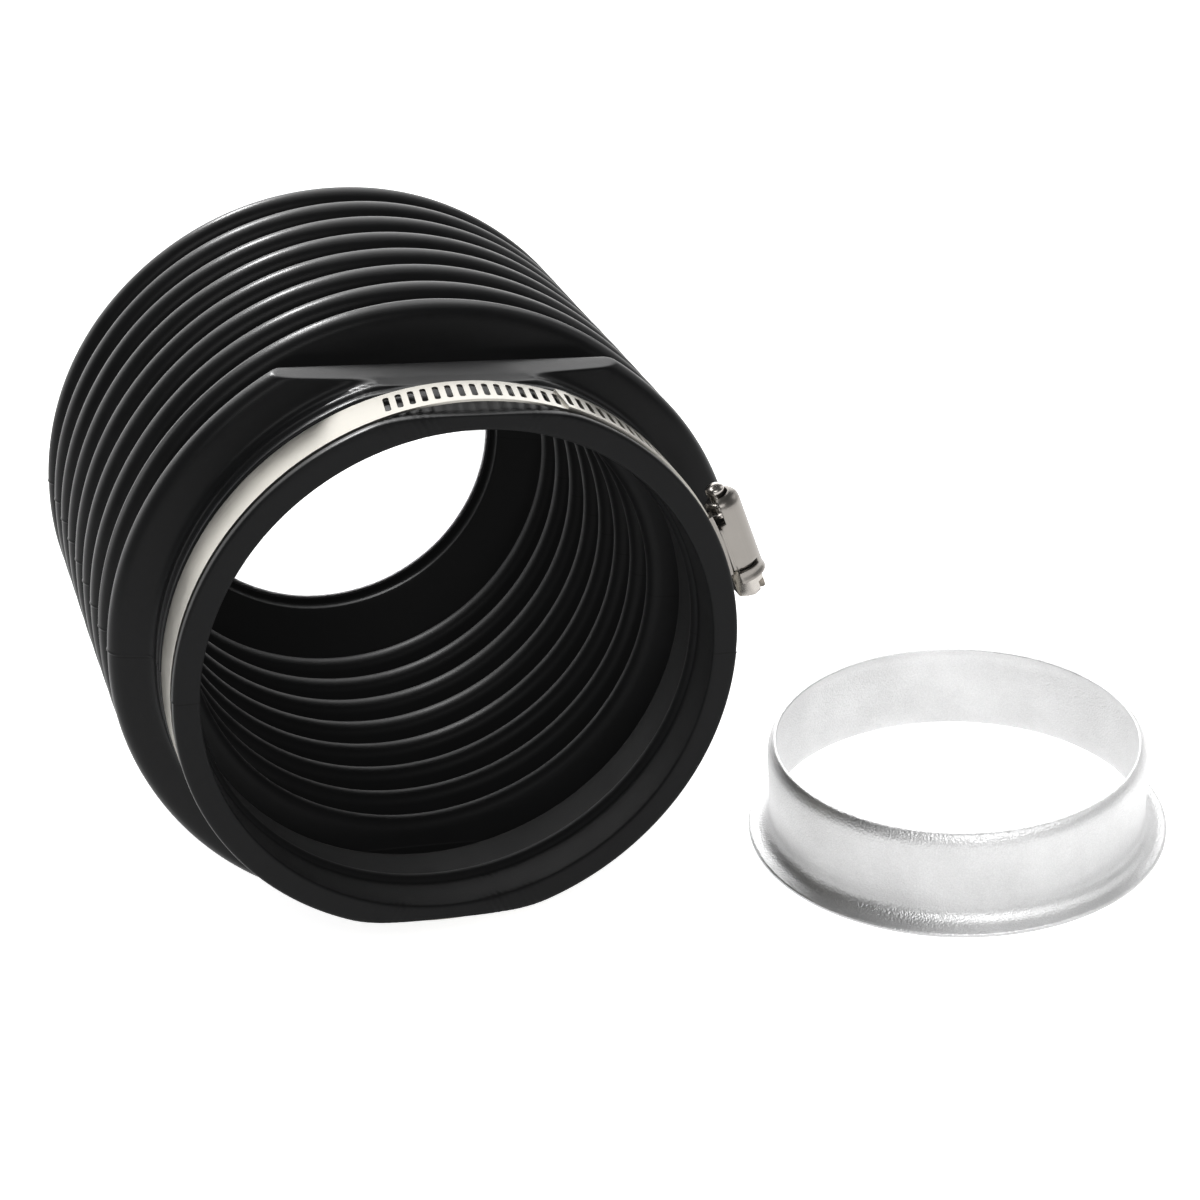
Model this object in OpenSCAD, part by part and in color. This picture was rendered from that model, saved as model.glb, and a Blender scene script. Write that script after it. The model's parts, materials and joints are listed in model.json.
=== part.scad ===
// Flexible bellows pipe coupling: a corrugated rubber sleeve lying on its side, with a worm-drive
// clamp on its front neck, an aluminium retaining sleeve in its rear neck and a second, loose one
// standing beside it. Millimetres. The bellows' axis is Y and the origin is the centre of the front mouth.

/* [Bellows] */
// Outside radius of the front neck's lips
neck_or = 75; // [72:1:78]
// Radius of the front neck's bore
neck_ir = 68; // [66:0.5:69]
// Outside radius of every fold's crest
crest_r = 86; // [84:0.5:88]
// Outside radius at the bottom of a valley
valley_r = 65.2; // [65:0.1:66]
// Distance from one crest to the next
pitch = 14.2; // [13.8:0.1:14.6]
// Number of folds
fold_count = 9; // [9:1:9]
// Position of the first crest behind the mouth
first_crest = 33; // [32:0.5:34]
// Thickness of the rubber in the folds
wall = 2.2; // [2:0.1:2.6]
// Rounding radius of a crest
crest_round = 4.1; // [3.8:0.1:4.4]
// Rounding radius at the bottom of a valley
valley_round = 1.2; // [1:0.1:1.6]
// Height above the axis of the flats cut on the front neck and the first fold
flat_height = 73.1; // [72.9:0.1:74]
// Angle that the coupling is rolled about its axis as it lies
roll = 8; // [0:1:15]

/* [Front neck] */
// Thickness of the lip in front of the clamp groove
lip_t = 3; // [2.5:0.1:3.5]
// Back edge of the clamp groove
groove_end = 18; // [17.6:0.1:18.4]
// Radius of the clamp groove's floor
groove_r = 73.65; // [73.3:0.05:73.7]
// Where the neck ends and the first fold starts
neck_end = 24; // [23:0.5:24]
// Lean of the first fold's front wall
front_lean = 12; // [8:1:16]
// Rounding radius between the neck and the first fold's front wall
front_round = 2.5; // [1.5:0.1:2.8]
// Distance from the mouth to the sealing bead in the bore
bead_y = 14.5; // [12:0.5:16]
// Height of the sealing bead
bead_h = 1.3; // [0.8:0.1:1.8]
// Distance from the mouth to the groove between the two beads behind the clamp
bead_gap_y = 21.6; // [21.3:0.1:21.9]
// Rounding radius of that groove
bead_gap_round = 1.2; // [0.9:0.1:1.3]

/* [Rear neck] */
// Radius of the rear neck's bore
rear_ir = 54; // [53:0.5:55]
// Outside radius of the rear neck
rear_or = 61; // [60.5:0.5:62]
// Where the rear neck starts
rear_start = 160; // [159:0.5:162]
// Where the rear neck ends
rear_end = 188.6; // [186:0.2:190]

/* [Retaining sleeves] */
// Thickness of the aluminium
sleeve_t = 1.4; // [1:0.1:2]
// Height of a sleeve
sleeve_h = 28.4; // [26:0.2:29]
// Outside radius of the flared foot
flange_r = 60; // [59:0.5:61]
// Bend radius between the wall and the flared foot
flare_bend = 4.5; // [3.5:0.5:5]
// Running clearance between the fitted sleeve and the rear bore
sleeve_gap = 0.05; // [0.02:0.01:0.1]
// Place of the loose sleeve, to the right of the bellows' axis
loose_x = 144.5; // [144.5:0.5:155]
// Place of the loose sleeve, behind the mouth
loose_y = 13; // [5:1:25]

/* [Clamp] */
// Angle of the clamp's housing above the horizontal
clamp_angle = 16.5; // [10:0.5:20]
// Width of the band
band_w = 12.7; // [12:0.1:13]
// Thickness of the band
band_t = 0.65; // [0.6:0.05:0.7]
// Inside radius of the band
band_r = 74.25; // [74.2:0.05:74.3]
// Distance from one slot to the next along the band
slot_pitch = 3.175; // [3:0.025:3.3]
// Length of a slot
slot_l = 8.2; // [6:0.1:8.5]
// Width of a slot
slot_w = 1.55; // [1:0.05:1.6]
// Slant of the slots, which follows the worm's lead
slot_slant = -7.5; // [-8:0.5:-5]
// Distance of the screw's axis from the bellows' axis
screw_r = 80.1; // [80.05:0.05:80.3]
// Outside radius of the worm
worm_r = 4.4; // [4.2:0.05:4.4]

/* [Hidden] */
$fn = 96;
far = 200;
half_pitch = pitch / 2;
crest_c = crest_r - crest_round;
valley_c = valley_r + valley_round;
// Lean of a fold's walls, which touch a crest's rounding and a valley's.
wall_lean = atan2(half_pitch, crest_c - valley_c)
    - asin((crest_round + valley_round) / norm([half_pitch, crest_c - valley_c]));
last_crest = first_crest + (fold_count - 1) * pitch;
groove_mid = (lip_t + groove_end) / 2;
slot_step = slot_pitch / (band_r + band_t) * 180 / PI;
outer_band_r = band_r + band_t + 0.05;
// Angles along the band, anticlockwise seen from the mouth, with 0 to the right.
slots_from = 100;
// The step between the two layers stands a little proud of both.
step_proud = 0.1;
step_t = outer_band_r + band_t - band_r + 2 * step_proud;
tongue_end = 60.77;
overlap_from = 61.07;
step_from = 63.35;
strip_end = 19;
first_slot = strip_end + 1.85;
tail_from = 12.4;
tail_end = 0.8;
// The saddle's plate and lugs, and the cover, in the clamp's own frame.
saddle_t = 0.5;
saddle_half = 7.05;
saddle_span = 7;
saddle_bottom = band_r - saddle_t - 0.05;
foot_r = 76.3;
foot_from = -8.5;
foot_l = 13;
cover_t = 0.9;
cover_ir = worm_r + 0.25;
cover_or = cover_ir + cover_t;
cover_top = 10.7;
gap_top = -9.5;
gap_bottom = -11;
// How far over the screw's axis the slot across the cover and the cut at the tip reach.
gap_reach = 3.4;
tip_cut_reach = 0.4;
tip_cut_from = 4.5;
collar_bottom = -16.5;
rim_proud = 0.9;
rim_l = 1.2;
// The screw, along its axis.
worm_depth = 1.15;
worm_from = -7.6;
worm_to = 10.5;
ridge_l = slot_pitch * 0.45;
tip_l = 1.6;
tip_end = 14;
head_r = 4.6;
head_bottom = -20;
driver_w = 1.2;
driver_depth = 1.6;

// Turns a profile drawn as (radius, distance behind the mouth) about the bellows' axis.
module turned(from = 0, sweep = 360) {
    rotate([-90, 0, 0]) rotate([0, 0, -from - sweep]) rotate_extrude(angle = sweep) children();
}

module rolled() {
    rotate([0, roll, 0]) children();
}

// The slab between two flats at the given distance from the axis.
module between_flats(height) {
    translate([-far / 2, -far / 4, -height]) cube([far, far * 2, 2 * height]);
}

// Points along an arc.
function arc(c, r, from, to, steps = 10) =
    [for (i = [0 : steps]) let (a = from + (to - from) * i / steps) c + r * [cos(a), sin(a)]];

// The valley side of a fold's outline, from its wall to the bottom of the valley.
function valley_arc(inset) = arc([valley_c, half_pitch], valley_round + inset, -90 - wall_lean, -180, 8);

// The crest of a fold's outline, between the directions of its two walls.
function crest_arc(inset, from, to) = arc([crest_c, 0], crest_round - inset, from, to, 16);

function mirrored(points) = [for (i = [len(points) - 1 : -1 : 0]) [points[i][0], -points[i][1]]];

// Everything inside one ordinary fold, offset inwards by the given thickness, centred on its crest.
module fold_area(inset) {
    polygon(concat(
        [[0, -half_pitch]],
        mirrored(valley_arc(inset)),
        crest_arc(inset, wall_lean - 90, 90 - wall_lean),
        valley_arc(inset),
        [[0, half_pitch]]
    ));
}

// Direction in which the line from p touches the circle of radius r about c.
function touch_angle(p, c, r) =
    let (d = c - p) atan2(d[1], d[0]) - asin(r / norm(d)) - 90;

// The last fold's outline, mirrored: its wall slopes down to a neck that starts at foot.
module rear_fold_area(inset, foot) {
    polygon(concat(
        [[0, half_pitch], [0, foot[1]], foot],
        crest_arc(inset, touch_angle(foot, [crest_c, 0], crest_round - inset), 90 - wall_lean),
        valley_arc(inset)
    ));
}

// How far in front of the crest the first fold's front wall is at radius r.
function front_wall(r, inset) =
    -(crest_round - inset) / cos(front_lean) - (crest_c - r) * tan(front_lean);

// The first fold's outline: a steep front wall that meets the neck in a rounding.
module front_fold_area() {
    round_r = neck_or + front_round;
    top_r = round_r - front_round * sin(front_lean);
    centre = [round_r, front_wall(top_r, 0) - front_round * cos(front_lean)];
    polygon(concat(
        [[0, half_pitch], [0, neck_end - first_crest], [neck_or, neck_end - first_crest]],
        arc(centre, front_round, 180, 90 + front_lean, 6),
        crest_arc(0, front_lean - 90, 90 - wall_lean),
        valley_arc(0)
    ));
}

// The space inside the first fold and the end of the neck's bore.
module front_fold_space() {
    start = neck_end - first_crest - 1;
    polygon(concat(
        [[0, half_pitch], [0, start], [neck_ir, start], [neck_ir, front_wall(neck_ir, wall)]],
        crest_arc(wall, front_lean - 90, 90 - wall_lean),
        valley_arc(wall)
    ));
}

module bellows_fold(index) {
    color("#232427") rolled() turned() translate([0, first_crest + (index - 1) * pitch]) difference() {
        fold_area(0);
        fold_area(wall);
    }
}

module bellows_fold_1() {
    color("#232427") rolled() difference() {
        intersection() {
            turned() translate([0, first_crest]) front_fold_area();
            between_flats(flat_height);
        }
        intersection() {
            turned() translate([0, first_crest]) front_fold_space();
            between_flats(flat_height - wall);
        }
    }
}

module bellows_fold_9() {
    outer_foot = [rear_or, last_crest - rear_start];
    inner_foot = [rear_ir, last_crest - rear_start + 2];
    color("#232427") rolled() turned() translate([0, last_crest]) mirror([0, 1]) difference() {
        rear_fold_area(0, outer_foot);
        rear_fold_area(wall, inner_foot);
        translate([0, outer_foot[1] - 1]) square([rear_ir, 4]);
    }
}

module bellows_front_neck() {
    groove_w = groove_end - lip_t;
    color("#232427") rolled() intersection() {
        union() {
            turned() difference() {
                translate([neck_ir, 0]) square([neck_or - neck_ir, neck_end]);
                translate([groove_r, lip_t]) square([neck_or, groove_w]);
                translate([neck_or + 0.3, bead_gap_y]) circle(r = bead_gap_round);
            }
            turned() intersection() {
                translate([neck_ir + 1.2, bead_y]) circle(r = bead_h + 1.2);
                square([neck_ir + 1, neck_end]);
            }
        }
        between_flats(flat_height);
    }
}

module bellows_rear_neck() {
    color("#232427") rolled() turned() difference() {
        translate([rear_ir, rear_start]) square([rear_or - rear_ir, rear_end - rear_start]);
        translate([rear_ir, rear_end]) rotate(45) square(flare_bend * sqrt(2) + 0.8, center = true);
    }
}

// The triangle between two directions from the axis, long enough to cut the band.
module wedge(from, to) {
    polygon([[0, 0], 2 * band_r * [cos(from), sin(from)], 2 * band_r * [cos(to), sin(to)]]);
}

// A strip of band between two angles, drawn as it is seen from the mouth.
module band_sector(from, to, inside, thickness = band_t) {
    intersection() {
        difference() {
            circle(r = inside + thickness);
            circle(r = inside);
        }
        wedge(from, to);
    }
}

// Gives a shape drawn as seen from the mouth the band's width and place.
module band_wide() {
    translate([0, groove_mid + band_w / 2, 0]) rotate([90, 0, 0]) linear_extrude(band_w) children();
}

// One slanted slot with round ends, cut radially through the band at the given angle.
module band_slot(angle) {
    half = (slot_l - slot_w) / 2;
    rotate([0, -angle, 0]) translate([band_r, groove_mid, 0]) rotate([slot_slant, 0, 0])
        for (end = [-half, 0, half])
            translate([0, end, 0])
                if (end == 0) cube([6, slot_l - slot_w, slot_w], center = true);
                else rotate([0, 90, 0]) cylinder(r = slot_w / 2, h = 6, center = true, $fn = 24);
}

// The strip starts under the overlap, runs clockwise once round the neck, steps outwards over its own
// start and ends inside the housing, where the tail takes over.
module clamp_band() {
    color("#cfc9bf") difference() {
        band_wide() {
            difference() {
                circle(r = band_r + band_t);
                circle(r = band_r);
                wedge(tongue_end, step_from);
            }
            band_sector(overlap_from, step_from + 0.3, band_r - step_proud, step_t);
            band_sector(strip_end, overlap_from + 0.2, outer_band_r);
        }
        for (angle = [first_slot : slot_step : slots_from]) band_slot(angle);
    }
}

module clamp_band_tail() {
    color("#cfc9bf") difference() {
        band_wide() band_sector(tail_end, tail_from, outer_band_r);
        for (angle = [first_slot - 4 * slot_step : -slot_step : tail_end + 3]) band_slot(angle);
    }
}

// The clamp's own frame: X outwards through the screw, Y across the band, Z along the screw.
module at_clamp() {
    rotate([0, -clamp_angle, 0]) translate([0, groove_mid, 0]) children();
}

module clamp_saddle() {
    lug_h = foot_r - saddle_bottom;
    color("#c4beb4") difference() {
        turned(clamp_angle - saddle_span, 2 * saddle_span)
            translate([saddle_bottom, groove_mid - saddle_half]) square([lug_h, 2 * saddle_half]);
        turned(clamp_angle - saddle_span - 1, 2 * saddle_span + 2)
            translate([band_r - 0.05, groove_mid - band_w / 2 - 0.1]) square([far, band_w + 0.2]);
        at_clamp() translate([foot_r, -far / 2, -far / 2]) cube(far);
    }
}

module cover_profile() {
    difference() {
        union() {
            translate([screw_r, 0]) circle(r = cover_or);
            translate([foot_r, -cover_or]) square([screw_r - foot_r, 2 * cover_or]);
        }
        translate([screw_r, 0]) circle(r = cover_ir);
        translate([foot_r - 1, -cover_ir]) square([screw_r - foot_r + 1, 2 * cover_ir]);
        translate([foot_r - 20, -20]) square([20, 40]);
    }
}

module clamp_housing() {
    color("#c9c3b9") at_clamp() difference() {
        union() {
            translate([0, 0, collar_bottom]) linear_extrude(cover_top - collar_bottom) cover_profile();
            // Feet that stand on the saddle's edges.
            for (side = [-1, 1])
                translate([foot_r, side > 0 ? cover_ir : -saddle_half, foot_from])
                    cube([cover_t, saddle_half - cover_ir, foot_l]);
            // The flared rim round the screw's head.
            translate([screw_r, 0, collar_bottom]) difference() {
                cylinder(r = cover_or + rim_proud, h = rim_l);
                translate([0, 0, -1]) cylinder(r = cover_ir, h = rim_l + 2);
            }
        }
        // The slot across the cover in front of the head; the crown stays.
        translate([foot_r - 1, -20, gap_bottom])
            cube([screw_r + gap_reach - foot_r + 1, 40, gap_top - gap_bottom]);
        // The sides are cut back at the screw's tip.
        translate([foot_r - 1, -20, tip_cut_from]) cube([screw_r + tip_cut_reach - foot_r + 1, 40, 20]);
        // The collar stays above the band's tail.
        translate([foot_r - 3, -20, -30]) cube([3.4, 40, 30 + gap_bottom]);
    }
}

module clamp_screw() {
    head_top = gap_top - 0.4;
    root_r = worm_r - worm_depth;
    color("#d8d2c8") at_clamp() translate([screw_r, 0, 0]) difference() {
        union() {
            translate([0, 0, head_top]) cylinder(r = root_r, h = tip_end - tip_l - head_top);
            translate([0, 0, tip_end - tip_l]) cylinder(r1 = root_r, r2 = root_r - 1.4, h = tip_l);
            // The worm's ridges, one to each turn.
            for (z = [worm_from : slot_pitch : worm_to])
                translate([0, 0, z]) cylinder(r = worm_r, h = ridge_l);
            // The thrust collar sits in the slot across the cover.
            translate([0, 0, gap_bottom + 0.1]) cylinder(r = worm_r, h = gap_top - gap_bottom - 0.2);
            translate([0, 0, head_bottom]) cylinder(r = head_r, h = gap_bottom + 0.1 - head_bottom, $fn = 6);
        }
        translate([-5, -driver_w / 2, head_bottom - 1]) cube([10, driver_w, driver_depth + 1]);
    }
}

// A spun sleeve standing on its flared foot: straight wall, bend, flat foot.
module retaining_sleeve(outside) {
    bend_c = outside + flare_bend;
    rotate_extrude() {
        translate([outside - sleeve_t, sleeve_t + flare_bend])
            square([sleeve_t, sleeve_h - sleeve_t - flare_bend]);
        intersection() {
            translate([bend_c, sleeve_t + flare_bend]) difference() {
                circle(r = flare_bend + sleeve_t);
                circle(r = flare_bend);
            }
            square([bend_c, sleeve_t + flare_bend]);
        }
        translate([bend_c, 0]) square([flange_r - bend_c, sleeve_t]);
    }
}

module fitted_sleeve() {
    color("#d9dadb") translate([0, rear_end + sleeve_t, 0]) rotate([90, 0, 0])
        retaining_sleeve(rear_ir - sleeve_gap);
}

module loose_sleeve() {
    color("#d9dadb") translate([loose_x, loose_y, -crest_r]) retaining_sleeve(rear_ir - sleeve_gap);
}

bellows_front_neck();
bellows_fold_1();
bellows_fold(2);  // bellows_fold_2
bellows_fold(3);  // bellows_fold_3
bellows_fold(4);  // bellows_fold_4
bellows_fold(5);  // bellows_fold_5
bellows_fold(6);  // bellows_fold_6
bellows_fold(7);  // bellows_fold_7
bellows_fold(8);  // bellows_fold_8
bellows_fold_9();
bellows_rear_neck();
clamp_band();
clamp_band_tail();
clamp_saddle();
clamp_housing();
clamp_screw();
fitted_sleeve();
loose_sleeve();
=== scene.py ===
"""Looks of the flexible bellows pipe coupling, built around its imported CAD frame.

Lengths are in millimetres in the shape code and turned into metres when a mesh is made. Materials, lamps
and the floor are in metres. The bellows' axis is Y, the mouth is at y = 0, and angles are in degrees,
anticlockwise from +X as seen from the mouth.
"""

import json
import math

import bmesh
import bpy
import numpy as np
from mathutils import Matrix, Vector

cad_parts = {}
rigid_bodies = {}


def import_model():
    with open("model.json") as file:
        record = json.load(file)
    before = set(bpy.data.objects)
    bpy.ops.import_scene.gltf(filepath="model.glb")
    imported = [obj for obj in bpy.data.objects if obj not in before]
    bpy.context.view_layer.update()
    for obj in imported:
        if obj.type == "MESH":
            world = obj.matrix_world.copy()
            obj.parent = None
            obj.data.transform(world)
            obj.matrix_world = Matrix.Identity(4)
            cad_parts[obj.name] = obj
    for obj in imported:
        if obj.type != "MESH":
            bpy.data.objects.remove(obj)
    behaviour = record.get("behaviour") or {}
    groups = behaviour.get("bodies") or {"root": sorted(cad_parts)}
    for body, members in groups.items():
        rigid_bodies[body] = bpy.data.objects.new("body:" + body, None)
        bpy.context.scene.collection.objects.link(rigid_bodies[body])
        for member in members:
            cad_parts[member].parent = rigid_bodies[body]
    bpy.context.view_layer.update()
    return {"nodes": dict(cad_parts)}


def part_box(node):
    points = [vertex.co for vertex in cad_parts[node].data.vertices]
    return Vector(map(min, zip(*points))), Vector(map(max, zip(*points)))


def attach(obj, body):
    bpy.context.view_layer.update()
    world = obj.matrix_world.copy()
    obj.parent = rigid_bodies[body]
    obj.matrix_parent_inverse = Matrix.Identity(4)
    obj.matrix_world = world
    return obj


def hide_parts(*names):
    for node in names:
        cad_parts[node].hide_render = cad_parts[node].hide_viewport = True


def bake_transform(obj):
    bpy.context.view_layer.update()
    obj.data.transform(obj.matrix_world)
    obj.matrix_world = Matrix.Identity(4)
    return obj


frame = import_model()

MM = 0.001
SAME_PLACE = 1e-6  # Points closer than this are one point.
TINY = 1e-12  # Keeps a division by a length finite.
RING_STEP = 1.5  # Degrees from one outline to the next round a ring.

# The folds: places along the axis, and radii of the roundings' centres and of the roundings.
PITCH = 14.2
FIRST_CREST = 33.0
FOLDS = 9
LAST_CREST = FIRST_CREST + (FOLDS - 1) * PITCH
CREST_C, CREST_ROUND = 81.9, 4.1
VALLEY_C, VALLEY_ROUND = 66.4, 1.2
WALL = 2.2
INNER_CREST_ROUND, RIDGE_ROUND = CREST_ROUND - WALL, VALLEY_ROUND + WALL

# The front neck, the two flats that cut the first fold, and the rear neck.
BORE_R, LIP_R, GROOVE_R = 68.0, 75.0, 73.65
NECK_END = 22
FRONT_LEAN = 12.0  # Of the first fold's front wall.
ROLL = 8.0  # How far the flats are turned clockwise from level.
FLAT_H, POCKET_FLAT_H = 73.1, 70.9  # From the axis to a flat's outside and inside.
FLAT_TILT = 10.0
SPIGOT_R, SPIGOT_BORE_R = 61.0, 54.0
REAR_END = 188.6

# The mould's parting line, the clamp and the floor under the lowest crest.
SEAM = 173.0
CLAMP_ANGLE = 16.5  # Where the screw is round the neck.
SCREW_R = 80.1  # From the bellows' axis to the screw's.
BAND_MID = 10.5
FLOOR_Z = -86.0 * MM

# Lean of a fold's walls, which touch a crest's rounding and a valley's.
LEAN = math.degrees(math.atan2(PITCH / 2, CREST_C - VALLEY_C)
                    - math.asin((CREST_ROUND + VALLEY_ROUND) / math.hypot(PITCH / 2, CREST_C - VALLEY_C)))


# ---------------------------------------------------------------- curves and grids

def arc(cy, cr, radius, a0, a1, n):
    """Points (y, r) on an arc round (cy, cr); angle 0 points along +y and 90 outwards."""
    a = np.radians(np.linspace(a0, a1, n + 1))
    return np.column_stack([cy + radius * np.cos(a), cr + radius * np.sin(a)])


def line(p, q, n):
    """Points from p to q in n equal steps."""
    t = np.linspace(0, 1, n + 1)[:, None]
    return np.array(p, float) * (1 - t) + np.array(q, float) * t


def joined(*parts):
    """One polyline from several, without the points they share."""
    out = [np.asarray(parts[0], float)]
    for part in parts[1:]:
        part = np.asarray(part, float)
        skip = 1 if np.linalg.norm(part[0] - out[-1][-1]) < SAME_PLACE else 0
        out.append(part[skip:])
    return np.vstack(out)


def lengths(curve):
    """How far along the curve each of its points is."""
    step = np.linalg.norm(np.diff(curve, axis=0), axis=1)
    return np.concatenate([[0], np.cumsum(step)])


def at_lengths(curve, s):
    """The curve's points at the distances s along it."""
    have = lengths(curve)
    return np.column_stack([np.interp(s, have, curve[:, i]) for i in range(curve.shape[1])])


def smoothed(curve, sigma, step):
    """The curve at even steps, with its corners rounded over about sigma; its ends stay."""
    total = lengths(curve)[-1]
    n = max(8, int(total / step))
    even = at_lengths(curve, np.linspace(0, total, n))
    reach = int(4 * sigma / step)
    k = np.exp(-0.5 * (np.arange(-reach, reach + 1) * step / sigma) ** 2)
    k /= k.sum()
    head = 2 * even[0] - even[reach:0:-1]
    tail = 2 * even[-1] - even[-2:-reach - 2:-1]
    padded = np.vstack([head, even, tail])
    return np.column_stack([np.convolve(padded[:, i], k, "valid") for i in range(2)])


def crowded(curve, count, tightest, widest, share):
    """The curve at a fixed number of points, closest together where it bends most.

    Points are share radians of bend apart, but no closer than tightest and no farther than widest,
    before all the steps are scaled to give the count.
    """
    d = np.gradient(curve, axis=0)
    turn = np.unwrap(np.arctan2(d[:, 1], d[:, 0]))
    s = lengths(curve)
    bend = np.abs(np.gradient(turn, s))
    reach = 6
    window = 2 * reach + 1
    bend = np.convolve(np.pad(bend, reach, mode="edge"), np.ones(window) / window, "valid")
    straight = 1e-3
    want = np.clip(share / np.maximum(bend, straight), tightest, widest)
    cum = np.concatenate([[0], np.cumsum(np.diff(s) * 0.5 * (1 / want[1:] + 1 / want[:-1]))])
    return at_lengths(curve, np.interp(np.linspace(0, cum[-1], count), cum, s))


def ring_angles(flats):
    """Angles round the bellows: even, and closer together at the mould seam and the flats' corners."""
    closest = 0.14
    angles = list(np.arange(0, 360, RING_STEP))
    for seam in (SEAM, SEAM + 180):
        angles += [seam + d for d in (-0.7, -0.35, -0.16, 0, 0.16, 0.35, 0.7)]
    if flats:
        for middle in (90 - ROLL, 270 - ROLL):
            for side in (-1, 1):
                angles += [middle + side * d for d in np.arange(25, 35, 0.5)]
    angles = np.unique(np.round(np.mod(angles, 360), 3))
    keep = [angles[0]]
    for a in angles[1:]:
        if a - keep[-1] > closest:
            keep.append(a)
    return np.array(keep)


def seam_offset(theta, r):
    """The thin flash line that the mould's halves leave, and their slight mismatch."""
    flash, flash_width = 0.16, 0.2
    mismatch, mismatch_from, mismatch_fade = 0.12, 0.05, 7
    off = np.zeros_like(r)
    for seam in (SEAM, SEAM + 180):
        d = np.mod(theta - seam + 180, 360) - 180
        off += flash * np.exp(-(d / flash_width) ** 2)
        off -= mismatch * (d > mismatch_from) * np.exp(-np.maximum(d, 0) / mismatch_fade)
    return off


def waviness(theta, y):
    """The slight unevenness of soft moulded rubber: 2, 5 and 9 waves round it, turning along it."""
    t = np.radians(theta)
    return (0.10 * np.sin(2 * t + 0.021 * y + 0.6) + 0.06 * np.sin(5 * t - 0.05 * y + 2.1)
            + 0.035 * np.sin(9 * t + 0.11 * y))


def swept(curves, theta, outside):
    """Grid of points: curves[i] is the (y, r) outline at angle theta[i].

    The necks stay round, and the seam fades out over the mouth's edge.
    """
    y, r = curves[..., 0], curves[..., 1].copy()
    deg = theta[:, None] + 0 * r
    rear_neck, fade, mouth_edge = 168, 10, 0.8
    uneven = np.clip((y - NECK_END) / fade, 0, 1) * np.clip((rear_neck - y) / fade, 0, 1)
    seam = np.where(outside, seam_offset(deg, r), 0) * np.clip(y / mouth_edge, 0, 1)
    r = r + uneven * waviness(deg, y) + seam
    a = np.radians(deg)
    return np.stack([r * np.cos(a), y, r * np.sin(a)], axis=-1)


def grid_normals(points):
    """Outward normals of a grid closed along its first index."""
    du = np.roll(points, -1, 0) - np.roll(points, 1, 0)
    dv = np.empty_like(points)
    dv[:, 1:-1] = points[:, 2:] - points[:, :-2]
    dv[:, 0] = points[:, 1] - points[:, 0]
    dv[:, -1] = points[:, -1] - points[:, -2]
    n = np.cross(dv, du)
    return n / np.maximum(np.linalg.norm(n, axis=-1, keepdims=True), TINY)


def new_object(name, verts, faces, material, normals=None):
    """A smooth mesh object from points in millimetres; normals are one row for each face corner."""
    mesh = bpy.data.meshes.new(name)
    mesh.from_pydata((np.asarray(verts, float) * MM).tolist(), [], [list(map(int, f)) for f in faces])
    mesh.materials.append(material)
    mesh.polygons.foreach_set("use_smooth", [True] * len(mesh.polygons))
    if normals is not None:
        mesh.normals_split_custom_set(np.asarray(normals, float).tolist())
    mesh.update()
    obj = bpy.data.objects.new(name, mesh)
    bpy.context.scene.collection.objects.link(obj)
    return obj


def closed_ring(name, strips, material):
    """A closed ring from strips of one loop: (points, normals) grids that follow each other round the
    section. A flat end face is added wherever one strip's end is apart from the next one's start."""
    nu = strips[0][0].shape[0]
    verts, base = [], []
    for points, _ in strips:
        base.append(sum(len(v) for v in verts))
        verts.append(points.reshape(-1, 3))
    faces, normals = [], []
    for (points, grid_n), start in zip(strips, base):
        nv = points.shape[1]
        for u in range(nu):
            w = (u + 1) % nu
            for v in range(nv - 1):
                faces.append((start + u * nv + v, start + u * nv + v + 1,
                              start + w * nv + v + 1, start + w * nv + v))
                normals += [grid_n[u, v], grid_n[u, v + 1], grid_n[w, v + 1], grid_n[w, v]]
    for i, (points, _) in enumerate(strips):
        other = (i + 1) % len(strips)
        nv, nw = points.shape[1], strips[other][0].shape[1]
        following = strips[other][0]
        if np.linalg.norm(points[0, -1] - following[0, 0]) < SAME_PLACE:
            continue
        for u in range(nu):
            w = (u + 1) % nu
            faces.append((base[i] + u * nv + nv - 1, base[other] + u * nw,
                          base[other] + w * nw, base[i] + w * nv + nv - 1))
            n = np.cross(following[u, 0] - points[u, -1], points[w, -1] - points[u, -1])
            normals += [n / max(np.linalg.norm(n), TINY)] * 4
    return new_object(name, np.vstack(verts), faces, material, normals)


def baked(obj):
    """The object with its modifiers applied to its mesh."""
    graph = bpy.context.evaluated_depsgraph_get()
    mesh = bpy.data.meshes.new_from_object(obj.evaluated_get(graph))
    obj.modifiers.clear()
    obj.data = mesh
    return obj


# ---------------------------------------------------------------- materials

def node(tree, kind, place):
    item = tree.nodes.new(kind)
    item.location = place
    return item


def shader(name, **sockets):
    """A new material with one Principled shader, its constants on the shader's own sockets."""
    mat = bpy.data.materials.new(name)
    mat.use_nodes = True
    tree = mat.node_tree
    tree.nodes.clear()
    out = node(tree, "ShaderNodeOutputMaterial", (600, 0))
    bsdf = node(tree, "ShaderNodeBsdfPrincipled", (300, 0))
    for key, value in sockets.items():
        bsdf.inputs[key.replace("_", " ")].default_value = value
    tree.links.new(bsdf.outputs[0], out.inputs[0])
    return mat, tree, bsdf


def ramp(tree, place, stops, source):
    """A colour between two stops, each (position, colour)."""
    item = node(tree, "ShaderNodeValToRGB", place)
    for element, (position, colour) in zip(item.color_ramp.elements, stops):
        element.position = position
        element.color = (*colour, 1)
    tree.links.new(source, item.inputs[0])
    return item.outputs[0]


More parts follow.
